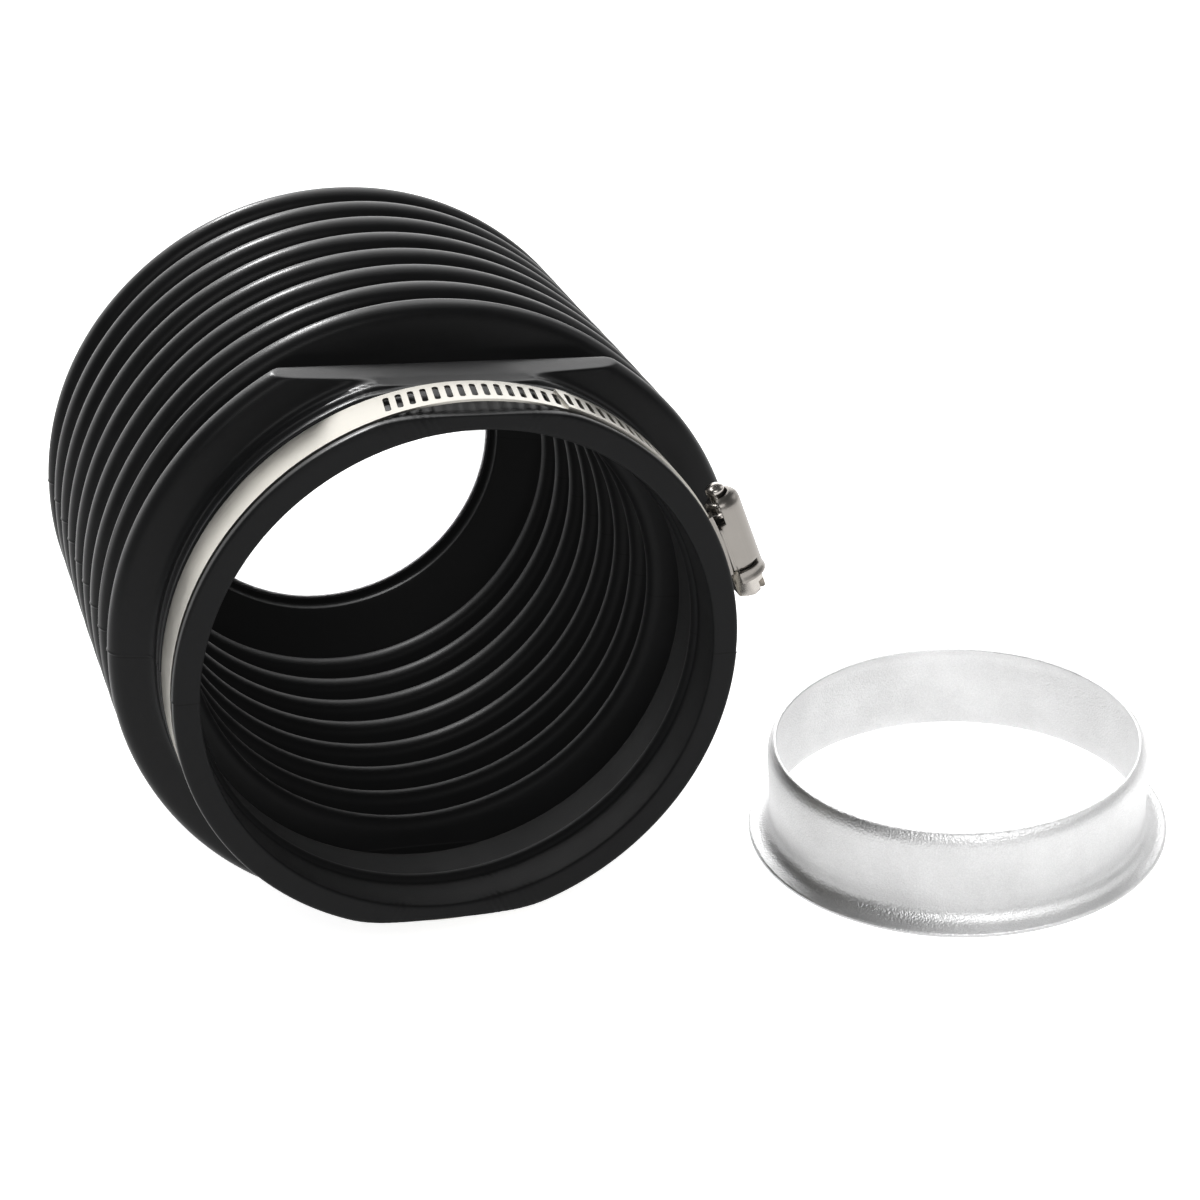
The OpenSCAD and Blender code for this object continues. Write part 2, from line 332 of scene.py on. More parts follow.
def ranged(tree, place, source, low, high, to_low, to_high):
    """The source's range from low to high, turned into the range from to_low to to_high."""
    item = node(tree, "ShaderNodeMapRange", place)
    for key, value in zip(("From Min", "From Max", "To Min", "To Max"), (low, high, to_low, to_high)):
        item.inputs[key].default_value = value
    tree.links.new(source, item.inputs["Value"])
    return item.outputs["Result"]


def noise(tree, place, vector, scale, detail, rough, distort=0.0):
    item = node(tree, "ShaderNodeTexNoise", place)
    item.inputs["Scale"].default_value = scale
    item.inputs["Detail"].default_value = detail
    item.inputs["Roughness"].default_value = rough
    item.inputs["Distortion"].default_value = distort
    tree.links.new(vector, item.inputs["Vector"])
    return item.outputs[0]


def maths(tree, place, what, a, b=None):
    """A sum or function of a and b, which are numbers or other nodes' outputs."""
    item = node(tree, "ShaderNodeMath", place)
    item.operation = what
    for i, value in enumerate((a, b)):
        if value is None:
            continue
        if hasattr(value, "is_output"):
            tree.links.new(value, item.inputs[i])
        else:
            item.inputs[i].default_value = value
    return item.outputs[0]


def bump(tree, place, height, strength, distance, normal=None):
    """A normal tilted by the height, on top of the normal given."""
    item = node(tree, "ShaderNodeBump", place)
    item.inputs["Strength"].default_value = strength
    item.inputs["Distance"].default_value = distance
    tree.links.new(height, item.inputs["Height"])
    if normal is not None:
        tree.links.new(normal, item.inputs["Normal"])
    return item.outputs[0]


def object_point(tree):
    """The point being shaded, in the shared frame."""
    return node(tree, "ShaderNodeTexCoord", (-1400, 0)).outputs["Object"]


def rubber_material():
    """Black moulded rubber, faintly bloomed and scuffed."""
    mat, tree, bsdf = shader("moulded_rubber", IOR=1.5, Specular_IOR_Level=0.11)
    point = object_point(tree)
    split = node(tree, "ShaderNodeSeparateXYZ", (-1200, -300))
    tree.links.new(point, split.inputs[0])
    x, y, z = split.outputs
    # Bloom and handling marks are slow changes of shade and gloss.
    bloom = noise(tree, (-900, 300), point, 26, 5, 0.6, 0.4)
    scuff = noise(tree, (-900, 50), point, 210, 6, 0.7)
    grain = noise(tree, (-900, -200), point, 2600, 2, 0.5)
    shade = maths(tree, (-650, 250), "ADD", maths(tree, (-750, 250), "MULTIPLY", bloom, 0.7),
                  maths(tree, (-750, 100), "MULTIPLY", scuff, 0.3))
    deep, bloomed = (0.0038, 0.0039, 0.0041), (0.0070, 0.0072, 0.0077)
    colour = ramp(tree, (-450, 300), [(0.3, deep), (0.7, bloomed)], shade)
    # Painted shade: a fine dark line in the base colour just beside the mould's parting line, where the
    # flash's step is shaded.
    angle = maths(tree, (-1000, -500), "ARCTAN2", z, x)
    seam = maths(tree, (-850, -500), "ABSOLUTE",
                 maths(tree, (-900, -500), "SINE",
                       maths(tree, (-950, -500), "SUBTRACT", angle, math.radians(SEAM + 0.35))))
    seam_shade = ranged(tree, (-700, -500), seam, 0.0012, 0.0042, 0.0, 1.0)
    seam_shade_mix = node(tree, "ShaderNodeMix", (-100, 300))
    seam_shade_mix.data_type = "RGBA"
    # The painted shade's colour along the parting line.
    seam_shade_mix.inputs["A"].default_value = (0.002, 0.002, 0.002, 1)
    tree.links.new(seam_shade, seam_shade_mix.inputs["Factor"])
    tree.links.new(colour, seam_shade_mix.inputs["B"])
    tree.links.new(seam_shade_mix.outputs["Result"], bsdf.inputs["Base Color"])
    # The outside is polished by handling; the bore and the folds' depths stay matt.
    gloss = ranged(tree, (-450, 0), shade, 0.3, 0.7, 0.27, 0.40)
    radius = maths(tree, (-700, -750), "SQRT",
                   maths(tree, (-800, -750), "ADD", maths(tree, (-900, -700), "MULTIPLY", x, x),
                         maths(tree, (-900, -850), "MULTIPLY", z, z)))
    matt_to, polished_from = 0.0735, 0.0750
    depth = ranged(tree, (-500, -750), radius, matt_to, polished_from, 0.16, 0.0)
    tree.links.new(maths(tree, (-200, 0), "ADD", gloss, depth), bsdf.inputs["Roughness"])
    fine = bump(tree, (-200, -200), grain, 0.22, 0.00006)
    tree.links.new(bump(tree, (0, -200), scuff, 0.16, 0.0003, fine), bsdf.inputs["Normal"])
    return mat


def band_vector(tree):
    """The point being shaded, and coordinates that run along the band and across it, all in metres."""
    band_radius = 0.0747
    point = object_point(tree)
    split = node(tree, "ShaderNodeSeparateXYZ", (-1250, 0))
    tree.links.new(point, split.inputs[0])
    x, y, z = split.outputs
    angle = maths(tree, (-1100, 100), "ARCTAN2", z, x)
    along = maths(tree, (-1000, 100), "MULTIPLY", angle, band_radius)
    both = node(tree, "ShaderNodeCombineXYZ", (-900, 0))
    tree.links.new(along, both.inputs[0])
    tree.links.new(y, both.inputs[1])
    return point, both.outputs[0]


def steel_material(name, warm, rough, drawn, spread=0.0):
    """Stainless steel; drawn strip has fine lines along it, and spread is how far they spread light.

    Warm is the steel's lightest colour and rough its middling roughness.
    """
    mat, tree, bsdf = shader(name, Metallic=1.0)
    point, along = band_vector(tree)
    if drawn:
        stretch = node(tree, "ShaderNodeMapping", (-750, 0))
        stretch.inputs["Scale"].default_value = (14, 900, 14)
        tree.links.new(along, stretch.inputs["Vector"])
        lines = noise(tree, (-550, 0), stretch.outputs[0], 5.0, 4, 0.6)
    else:
        lines = noise(tree, (-550, 0), point, 900, 4, 0.6)
    if spread:
        around = node(tree, "ShaderNodeTangent", (0, -500))
        around.direction_type, around.axis = "RADIAL", "Y"
        tree.links.new(around.outputs[0], bsdf.inputs["Tangent"])
        bsdf.inputs["Anisotropic"].default_value = spread
    cloud = noise(tree, (-550, 250), point, 60, 4, 0.6)
    mixed = maths(tree, (-350, 200), "ADD", maths(tree, (-450, 200), "MULTIPLY", cloud, 0.6),
                  maths(tree, (-450, 100), "MULTIPLY", lines, 0.4))
    dulled = tuple(0.84 * c for c in warm)
    colour = ramp(tree, (-150, 250), [(0.3, dulled), (0.7, warm)], mixed)
    tree.links.new(colour, bsdf.inputs["Base Color"])
    tree.links.new(ranged(tree, (-150, 0), mixed, 0.3, 0.7, rough - 0.06, rough + 0.08),
                   bsdf.inputs["Roughness"])
    tree.links.new(bump(tree, (0, -200), lines, 0.12, 0.00008), bsdf.inputs["Normal"])
    return mat


def aluminium_material():
    """Tumbled aluminium: pale, satin, with a fine pebbled grain that sparkles on the bends."""
    mat, tree, bsdf = shader("tumbled_aluminium", Metallic=1.0)
    point = object_point(tree)
    cells = node(tree, "ShaderNodeTexVoronoi", (-900, 0))
    cells.inputs["Scale"].default_value = 1700
    tree.links.new(point, cells.inputs["Vector"])
    fine = noise(tree, (-900, 300), point, 2300, 3, 0.7)
    cloud = noise(tree, (-900, 550), point, 45, 4, 0.55)
    grain = maths(tree, (-650, 100), "ADD", cells.outputs["Distance"],
                  maths(tree, (-750, 250), "MULTIPLY", fine, 0.8))
    shade = maths(tree, (-550, 400), "ADD", maths(tree, (-650, 400), "MULTIPLY", cloud, 0.5),
                  maths(tree, (-650, 500), "MULTIPLY", fine, 0.5))
    dulled, pale = (0.60, 0.60, 0.602), (0.78, 0.78, 0.782)
    colour = ramp(tree, (-400, 400), [(0.34, dulled), (0.66, pale)], shade)
    tree.links.new(colour, bsdf.inputs["Base Color"])
    tree.links.new(ranged(tree, (-400, 100), grain, 0.2, 1.3, 0.30, 0.46), bsdf.inputs["Roughness"])
    tree.links.new(bump(tree, (0, -200), grain, 0.6, 0.00018), bsdf.inputs["Normal"])
    return mat


def floor_material():
    """The white floor; its own glow evens out the lamps' falloff."""
    mat, tree, bsdf = shader("studio_floor", Roughness=0.75, Specular_IOR_Level=0.2,
                             Emission_Color=(1, 1, 1, 1), Emission_Strength=0.78)
    cloud = noise(tree, (-500, 0), object_point(tree), 3, 2, 0.5)
    colour = ramp(tree, (-200, 0), [(0.3, (0.93, 0.93, 0.93)), (0.7, (0.945, 0.945, 0.945))], cloud)
    tree.links.new(colour, bsdf.inputs["Base Color"])
    return mat


RUBBER = rubber_material()
BAND_STEEL = steel_material("brushed_band_steel", (0.445, 0.428, 0.388), 0.34, True, 0.65)
CAST_STEEL = steel_material("pressed_housing_steel", (0.305, 0.286, 0.264), 0.32, True)
SCREW_STEEL = steel_material("plated_screw_steel", (0.52, 0.49, 0.455), 0.22, False)
ALUMINIUM = aluminium_material()


# ---------------------------------------------------------------- rubber bellows

def tangent_angle(foot, centre, radius):
    """Where the line from a foot below touches a crest's rounding, as an angle about its centre."""
    d = np.array(centre, float) - np.array(foot, float)
    reach = np.hypot(*d)
    turn = math.degrees(math.atan2(d[1], d[0]) + math.asin(radius / reach))
    return turn + 90


def fold_outer(y, n_crest=7, n_valley=12):
    """Outside outline from the crest at y back to the next crest."""
    return joined(
        arc(y, CREST_C, CREST_ROUND, 90, LEAN, n_crest),
        arc(y + PITCH / 2, VALLEY_C, VALLEY_ROUND, 180 + LEAN, 360 - LEAN, n_valley),
        arc(y + PITCH, CREST_C, CREST_ROUND, 180 - LEAN, 90, n_crest),
    )


def fold_inner(y, n_crest=4, n_ridge=14):
    """Inside outline from the crest behind y forwards to the crest at y."""
    return joined(
        arc(y + PITCH, CREST_C, INNER_CREST_ROUND, 90, 180 - LEAN, n_crest),
        arc(y + PITCH / 2, VALLEY_C, RIDGE_ROUND, -LEAN, LEAN - 180, n_ridge),
        arc(y, CREST_C, INNER_CREST_ROUND, LEAN, 90, n_crest),
    )


def front_outline():
    """The whole section of the front end as (y, r): from the inner crest of fold 2 forwards through the
    bore, round the mouth, and back outside to the outer crest of fold 2."""
    y = FIRST_CREST
    return joined(
        fold_inner(y, 10, 30),
        arc(y, CREST_C, INNER_CREST_ROUND, 90, 180 - FRONT_LEAN, 8),
        # The bore with its sealing bead, the mouth, the lip, the band's groove and the beads behind it.
        [(28.1, BORE_R), (16.9, BORE_R)],
        arc(14.5, 69.3, 2.6, -30, -150, 14),
        [(12.1, BORE_R), (0.6, BORE_R), (0.15, 68.15), (0.0, 68.6)],
        [(0.0, 74.0), (0.25, 74.7), (0.9, LIP_R), (2.5, LIP_R), (2.9, 74.8), (3.0, 74.3)],
        [(3.05, 73.9), (3.4, GROOVE_R), (17.6, GROOVE_R), (17.95, 73.9), (18.0, 74.4)],
        [(18.15, LIP_R), (18.8, 75.2), (20.0, 75.2), (20.6, 74.95), (21.2, 74.25), (21.9, 74.25)],
        [(22.5, 74.95), (23.1, 75.25), (23.9, 75.25), (24.5, 75.1)],
        arc(25.32, 77.5, 2.5, -90, -FRONT_LEAN, 8),
        arc(y, CREST_C, CREST_ROUND, 180 - FRONT_LEAN, 90, 16),
        fold_outer(y, 16, 16),
    )


def soft_min(a, b, k):
    """The smaller of a and b, blended where they are within k of each other."""
    h = np.clip(0.5 + 0.5 * (b - a) / k, 0, 1)
    return b * (1 - h) + a * h - k * h * (1 - h)


def front_sections(theta):
    """The front outline at each angle, cut back by the flats, divided at the first crest's plane."""
    base = front_outline()
    step, rounding = 0.1, 0.3
    dense = at_lengths(base, np.arange(0, lengths(base)[-1], step))
    y = dense[:, 0]
    rim_middle = 71
    mouth = int(np.argmin(y + 0.01 * np.abs(dense[:, 1] - rim_middle)))
    is_outer = np.arange(len(dense)) > mouth
    in_reach = y < FIRST_CREST + PITCH / 2
    # A flat leans forwards about the first crest and is rounded off at its back.
    back_round, flat_front, flat_back = 3.2, 28, 37
    start = FIRST_CREST + CREST_ROUND - back_round
    over = np.clip(y - start, 0, back_round)
    tilt = math.tan(math.radians(FLAT_TILT)) * (np.clip(y, flat_front, flat_back) - FIRST_CREST)
    drop = back_round - np.sqrt(back_round ** 2 - over ** 2) - tilt
    # Its edges are soft on the neck and nearly sharp on the folds.
    blunt = np.where(y < NECK_END, 2.6, 0.5)
    least_lean, no_limit = 0.3, 500.0
    sets = [[], [], []]
    for angle in theta:
        lean = max(abs(math.cos(math.radians(angle - (90 - ROLL)))), least_lean)
        limit = np.where(is_outer, FLAT_H / lean - drop, POCKET_FLAT_H / lean)
        limit = np.where(in_reach, limit, no_limit)
        cut = dense.copy()
        cut[:, 1] = soft_min(dense[:, 1], limit, blunt)
        # Each of the three stretches between the crest planes keeps its own number of points.
        cross = np.nonzero(np.diff(np.sign(cut[:, 0] - FIRST_CREST)) != 0)[0]
        first, last = cross[0], cross[-1]
        marks = []
        for i in (first, last):
            t = (FIRST_CREST - cut[i, 0]) / (cut[i + 1, 0] - cut[i, 0])
            marks.append(cut[i] + t * (cut[i + 1] - cut[i]))
        stretches = (
            (np.vstack([cut[:first + 1], marks[0]]), (30, 0.4, 4.0, 0.5)),
            (np.vstack([marks[0], cut[first + 1:last + 1], marks[1]]), (150, 0.25, 2.6, 0.35)),
            (np.vstack([marks[1], cut[last + 1:]]), (44, 0.35, 3.0, 0.35)),
        )
        for found, (stretch, spacing) in zip(sets, stretches):
            found.append(crowded(smoothed(stretch, rounding, step), *spacing))
    return [np.array(s) for s in sets]


def fold_stretch(k):
    """Outer (front to back) and inner (back to front) outlines between crests k and k + 1."""
    y = FIRST_CREST + (k - 1) * PITCH
    return even_walls(fold_outer(y)), even_walls(fold_inner(y))


def even_walls(curve):
    """The outline with its long straight stretches divided."""
    longest = 5.2
    out = [curve[:1]]
    for p, q in zip(curve[:-1], curve[1:]):
        n = max(1, int(np.ceil(np.linalg.norm(q - p) / longest)))
        out.append(line(p, q, n)[1:])
    return np.vstack(out)


def rear_outline():
    """The rear end's section: outer crest of the last fold, back over the neck, round its end, and
    forwards inside to the last fold's inner crest."""
    y = LAST_CREST
    outer_foot, inner_foot = (160.0, SPIGOT_R), (158.0, SPIGOT_BORE_R)
    outer_turn = 180 - tangent_angle((2 * y - outer_foot[0], outer_foot[1]), (y, CREST_C), CREST_ROUND)
    inner_turn = 180 - tangent_angle((2 * y - inner_foot[0], inner_foot[1]), (y, CREST_C),
                                     INNER_CREST_ROUND)
    sharp = joined(
        arc(y, CREST_C, CREST_ROUND, 90, outer_turn, 10),
        [outer_foot],
        [(REAR_END - 4.2, SPIGOT_R), (REAR_END - 4.0, SPIGOT_R), (REAR_END - 0.7, SPIGOT_R)],
        [(REAR_END, 60.3), (REAR_END, 59.3), (REAR_END - 5.0, 54.1)],
        [(REAR_END - 6.0, SPIGOT_BORE_R), (inner_foot[0] + 1, SPIGOT_BORE_R)],
        [inner_foot],
        arc(y, CREST_C, INNER_CREST_ROUND, inner_turn, 90, 6),
    )
    return crowded(smoothed(sharp, 0.5, 0.1), 96, 0.3, 4.0, 0.35)


def same_everywhere(curve, theta):
    """One outline, repeated at every angle."""
    return np.repeat(curve[None], len(theta), 0)


def build_bellows():
    """The moulding: a front end and a rear end on their own bodies, and eight stretches from crest to crest
    between them.
    """
    theta = ring_angles(True)
    flex_in, front, flex_out = front_sections(theta)
    whole = np.concatenate([flex_in[:, :-1], front[:, :-1], flex_out], axis=1)
    mouth = np.argmin(front[0, :, 0]) + flex_in.shape[1] - 1
    past_rim = 4
    outside = (np.arange(whole.shape[1]) > mouth + past_rim)[None, :]
    points = swept(whole, theta, outside)
    normals = grid_normals(points)
    a, b = flex_in.shape[1] - 1, flex_in.shape[1] + front.shape[1] - 2
    piece = closed_ring("bellows_front_end", [(points[:, a:b + 1], normals[:, a:b + 1])], RUBBER)
    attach(piece, "front_end")
    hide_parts("bellows_front_neck", "bellows_fold_1")
    flex = closed_ring("bellows_flex_1", [(points[:, b:], normals[:, b:]),
                                          (points[:, :a + 1], normals[:, :a + 1])], RUBBER)
    blended(flex, 1)

    theta = ring_angles(False)
    for k in range(2, FOLDS):
        outer, inner = fold_stretch(k)
        strips = []
        for curve, out in ((outer, True), (inner, False)):
            # One point past each end gives the ends the normals of the unbroken surface.
            ends = [2 * curve[0] - curve[1], 2 * curve[-1] - curve[-2]]
            ends[0][1], ends[1][1] = curve[1][1], curve[-2][1]
            longer = same_everywhere(np.vstack([ends[0], curve, ends[1]]), theta)
            grid = swept(longer, theta, np.array([[out]]))
            strips.append((grid[:, 1:-1], grid_normals(grid)[:, 1:-1]))
        blended(closed_ring(f"bellows_flex_{k}", strips, RUBBER), k)

    curve = rear_outline()
    ends = [curve[0] + (curve[0] - curve[1]) * [1, -1], curve[-1] + (curve[-1] - curve[-2]) * [1, -1]]
    longer = same_everywhere(np.vstack([ends[0], curve, ends[1]]), theta)
    last_outer = int(np.argmax(longer[0, :, 0]))
    grid = swept(longer, theta, (np.arange(longer.shape[1]) < last_outer)[None, :])
    normals = grid_normals(grid)
    piece = closed_ring("bellows_rear_end", [(grid[:, 1:-1], normals[:, 1:-1])], RUBBER)
    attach(piece, "rear_end")
    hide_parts("bellows_fold_9", "bellows_rear_neck")


def blended(piece, k):
    """The piece between folds k and k + 1, with its place baked into its mesh; from k = 2 on, the frame's
    fold k is hidden.
    """
    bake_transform(piece)
    if k > 1:
        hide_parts(f"bellows_fold_{k}")


build_bellows()


# ---------------------------------------------------------------- sleeves

def sleeve_outline():
    """A spun sleeve's section as (height, radius): flared foot at 0, thin wall, edge turned in a little."""
    out_r, t, bend, top = 53.95, 1.4, 4.5, 28.4
    flare_c = out_r + bend
    inside = [(4.4, 0.0), (3.4, 0.08), (2.2, 0.4), (1.2, 0.92), (0.55, 1.25), (0.15, 1.28), (0.0, 1.0)]
    outside = [(0.0, 2.1), (0.15, 1.7), (0.6, 1.25), (1.3, 0.8), (2.2, 0.38), (3.2, 0.1), (4.3, 0.0)]
    return joined(
        [(0.35, 60.0), (0.1, 59.8), (0.0, 59.4), (0.0, flare_c + 0.2)],
        arc(t + bend, flare_c, bend + t, -180, -90, 14),
        [(top - down, out_r - t - turned) for down, turned in inside],
        [(top - down, out_r - turned) for down, turned in outside],
        [(t + bend + 0.4, out_r)],
        arc(t + bend, flare_c, bend, -90, -180, 14),
        [(t, flare_c + 0.3), (t, 59.4), (t - 0.15, 59.85), (t - 0.45, 60.0)],
    )


def sleeve_grid(place, along_y):
    """Points round the sleeve, slightly out of true; its foot is centred on the place given."""
    section = crowded(smoothed(sleeve_outline(), 0.22, 0.08), 92, 0.22, 3.0, 0.3)
    a = np.radians(np.arange(0, 360, RING_STEP))[:, None]
    h, r = section[None, :, 0], section[None, :, 1]
    ripple = 0.03 * np.sin(7 * a + 0.3 * h) + 0.02 * np.sin(13 * a)
    r = r + ripple * np.clip(h / 4, 0, 1)
    if along_y:
        return np.stack([r * np.cos(a), place[1] - h + 0 * a, r * np.sin(a)], axis=-1)
    return np.stack([place[0] + r * np.cos(a), place[1] + r * np.sin(a), place[2] + h + 0 * a], axis=-1)


def build_sleeve(name, body, node_name, place, along_y):
    grid = sleeve_grid(place, along_y)
    nu, nv = grid.shape[:2]
    faces = []
    for u in range(nu):
        w = (u + 1) % nu
        for v in range(nv):
            x = (v + 1) % nv
            faces.append((u * nv + v, u * nv + x, w * nv + x, w * nv + v))
    obj = new_object(name, grid.reshape(-1, 3), faces, ALUMINIUM)
    fix_outward(obj)
    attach(obj, body)
    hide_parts(node_name)


def fix_outward(obj):
    """Turns a closed mesh's faces outwards."""
    bm = bmesh.new()
    bm.from_mesh(obj.data)
    bmesh.ops.recalc_face_normals(bm, faces=bm.faces)
    bm.to_mesh(obj.data)
    bm.free()
    obj.data.update()


loose_low, loose_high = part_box("loose_sleeve")
loose_middle = (loose_low + loose_high) / 2 / MM
build_sleeve("retaining_sleeve_loose", "loose_sleeve", "loose_sleeve",
             (loose_middle.x, loose_middle.y, loose_low.z / MM), False)
build_sleeve("retaining_sleeve_fitted", "fitted_sleeve", "fitted_sleeve",
             (0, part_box("fitted_sleeve")[1].y / MM, 0), True)

# ---------------------------------------------------------------- clamp

def clamp_place():
    """The clamp's own frame in metres: X outwards through the screw, Y across the band, Z along the screw."""
    a = math.radians(CLAMP_ANGLE)
    turn = Matrix(((math.cos(a), 0, -math.sin(a)), (0, 1, 0), (math.sin(a), 0, math.cos(a))))
    return Matrix.Translation((0, BAND_MID * MM, 0)) @ turn.to_4x4()


def in_clamp_frame(obj):
    """The object moved from the clamp's own frame to its place on the neck."""
    obj.data.transform(clamp_place())
    obj.data.update()
    return obj


def crisp(obj, degrees):
    """Smooth shading with an edge kept wherever the surface turns by more than the degrees given."""
    obj.data.polygons.foreach_set("use_smooth", [True] * len(obj.data.polygons))
    obj.data.set_sharp_from_angle(angle=math.radians(degrees))
    return obj


def smooth_step(x):
    """0 below x = 0, 1 above x = 1, and an even curve between."""
    x = min(max(x, 0.0), 1.0)
    return x * x * (3 - 2 * x)


def build_housing():
    """The pressed cover: one folded sheet with feet, a slot across it, cut-back sides at the tip and a
    flared rim round the screw's head."""
    sheet, middle = 0.9, 5.1  # Thickness, and radius of its middle over the screw.
    foot_x, foot_y = SCREW_R - 3.35, 7.03
    head_end, gap_low, gap_high, foot_start, tip_cut, tip_end = -14.2, -11.0, -9.5, -8.5, 4.5, 10.7
    flare_start, flare_length, flare_out = -12.3, 1.7, 0.35
    curl_start, curl_in = 8.2, 2.3
    gap_depth = 5  # Steps of the arch that the slot reaches up on each side.
    legs = [(foot_x, -foot_y), (foot_x, -5.95), (foot_x + 0.25, -5.35)]
    legs += [(SCREW_R - 2.55, -middle), (SCREW_R - 1.35, -middle)]
    turns = [0, 4.5, 14, 24, 33, 41.8, 52, 62, 72, 81, 90]
    side = [(SCREW_R + middle * math.sin(math.radians(t)), -middle * math.cos(math.radians(t)))
            for t in turns]
    half = legs + side
    path = half + [(x, -y) for x, y in reversed(half[:-1])]
    n_legs, n_half = len(legs), len(half)

    def rank(i):
        """The point's number counted from the nearer foot."""
        return i if i < n_half else len(path) - 1 - i

    zs = [head_end, -14.05, -13.8, -13.4, -12.9, -12.3, -11.7, gap_low, -10.25, gap_high, foot_start]
    zs += [-6.5, -4.0, -1.5, 1.0, 3.0, tip_cut, 6.0, 7.5, 8.4, 9.0, 9.5, 9.9, 10.2, 10.45, 10.6, tip_end]

    def point(i, z):
        """Point i of the section at z, pushed out by the flare and drawn in by the tip's curl."""
        x, y = path[i]
        flare = flare_out * smooth_step((flare_start - z) / flare_length)
        curl = min(max((z - curl_start) / (tip_end - curl_start), 0.0), 1.0)
        nose = -curl_in * (1 - math.sqrt(1 - 0.995 * curl * curl))
        d = np.array([max(x - SCREW_R, 0.0), y])
        reach = max(np.linalg.norm(d), SAME_PLACE)
        off = (flare + nose) * d / reach if rank(i) >= n_legs - 2 else np.zeros(2)
        return (x + off[0], y + off[1], z)

    verts = [point(i, z) for i in range(len(path)) for z in zs]
    faces = []
    for i in range(len(path) - 1):
        low = min(rank(i), rank(i + 1))
        for k in range(len(zs) - 1):
            z = (zs[k] + zs[k + 1]) / 2
            no_foot = low < n_legs - 2 and not foot_start < z < tip_cut
            in_gap = gap_low < z < gap_high and low < n_legs + gap_depth
            past_side = z > tip_cut and low < n_legs - 1
            if no_foot or in_gap or past_side:
                continue
            a, b = i * len(zs) + k, (i + 1) * len(zs) + k
            faces.append((a, b, b + 1, a + 1))
    used = sorted({v for f in faces for v in f})
    index = {v: n for n, v in enumerate(used)}
    obj = new_object("worm_housing", [verts[v] for v in used],
                     [[index[v] for v in f] for f in faces], CAST_STEEL)
    thick = obj.modifiers.new("sheet", "SOLIDIFY")
    thick.thickness, thick.offset = sheet * MM, 0
    thick.use_even_offset = True
    soft = obj.modifiers.new("edges", "BEVEL")
    soft.width, soft.segments, soft.limit_method = 0.17 * MM, 2, "ANGLE"
    soft.angle_limit = math.radians(50)
    crisp(in_clamp_frame(baked(obj)), 35)
    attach(obj, "clamp")
    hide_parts("clamp_housing")


def lathe_along_z(name, rings, material, around):
    """A closed solid round the screw's axis; rings are (z, radius), where a radius is a number or a
    function of the angle in radians and z, and around is the number of points in a ring."""
    verts, faces = [], []
    for z, r in rings:
        for i in range(around):
            a = 2 * math.pi * i / around
            reach = r(a, z) if callable(r) else r
            verts.append((SCREW_R + reach * math.cos(a), reach * math.sin(a), z))
    for k in range(len(rings) - 1):
        for i in range(around):
            j = (i + 1) % around
            faces.append((k * around + i, k * around + j, (k + 1) * around + j, (k + 1) * around + i))
    for k, flip in ((0, True), (len(rings) - 1, False)):
        verts.append((SCREW_R, 0, rings[k][0]))
        tip = len(verts) - 1
        for i in range(around):
            j = (i + 1) % around
            a, b = k * around + i, k * around + j
            faces.append((tip, b, a) if flip else (tip, a, b))
    return new_object(name, verts, faces, material)


def worm_radius(a, z):
    """The worm's helix: one turn of thread to each slot of the band, fading out at both its ends."""
    core, crown, lead = 3.3, 4.38, 3.175
    flank, tooth = 0.16, 0.62  # Shares of the lead.
    phase = (z / lead - a / (2 * math.pi)) % 1.0
    rise = smooth_step(phase / flank) * smooth_step((tooth - phase) / flank)
    run_out = smooth_step((9.3 - z) / 1.4) * smooth_step((z + 8.9) / 1.2)
    return core + (crown - core) * rise * run_out


def hexagon(a, corner):
    """A hexagon's radius with its corners cut back a little."""
    flat, cut_back = corner * math.cos(math.radians(30)), 0.975
    turn = (math.degrees(a) + 30) % 60 - 30
    return min(flat / math.cos(math.radians(turn)), corner * cut_back)


def build_screw():
    """The worm screw: a slotted hex head, a collar, the thread and a turned tip."""
    rings = [(-20.0, 3.0), (-19.96, 3.35)]
    head = ((-19.75, 4.05), (-19.45, 4.38), (-19.1, 4.55), (-18.0, 4.58), (-15.0, 4.58), (-12.2, 4.58))
    rings += [(z, lambda a, z, c=c: hexagon(a, c)) for z, c in head]
    rings += [(-12.0, 4.42), (-11.9, 4.4), (-11.1, 4.4), (-10.95, 3.6), (-10.85, 3.6), (-10.8, 4.35)]
    rings += [(-10.7, 4.38), (-9.75, 4.38), (-9.65, 4.3), (-9.6, 3.35)]
    thread_start, thread_length, steps = -9.5, 18.7, 109
    rings += [(thread_start + thread_length * i / steps, worm_radius) for i in range(steps + 1)]
    rings += [(9.4, 3.0), (9.55, 2.3), (9.7, 1.9), (11.3, 1.9), (11.45, 2.1), (11.7, 2.4), (12.1, 2.5)]
    rings += [(12.7, 2.5), (13.1, 2.3), (13.5, 1.85), (13.8, 1.25), (13.95, 0.65), (14.0, 0.2)]
    obj = lathe_along_z("worm_screw", rings, SCREW_STEEL, 72)
    fix_outward(obj)
    slot_half, slot_floor, slot_turn = 0.95, -16.9, math.radians(-45)
    low, high = (-6, -slot_half, -22), (6, slot_half, slot_floor)
    notch = new_object("driver_slot", *box_mesh(low, high), SCREW_STEEL)
    on_axis = Matrix.Translation((SCREW_R * MM, 0, 0))
    notch.data.transform(on_axis @ Matrix.Rotation(slot_turn, 4, "Z"))
    cut = obj.modifiers.new("slot", "BOOLEAN")
    cut.operation, cut.solver, cut.object = "DIFFERENCE", "EXACT", notch
    baked(obj)
    bpy.data.objects.remove(notch)
    crisp(in_clamp_frame(obj), 32)
    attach(obj, "clamp_screw")
    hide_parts("clamp_screw")


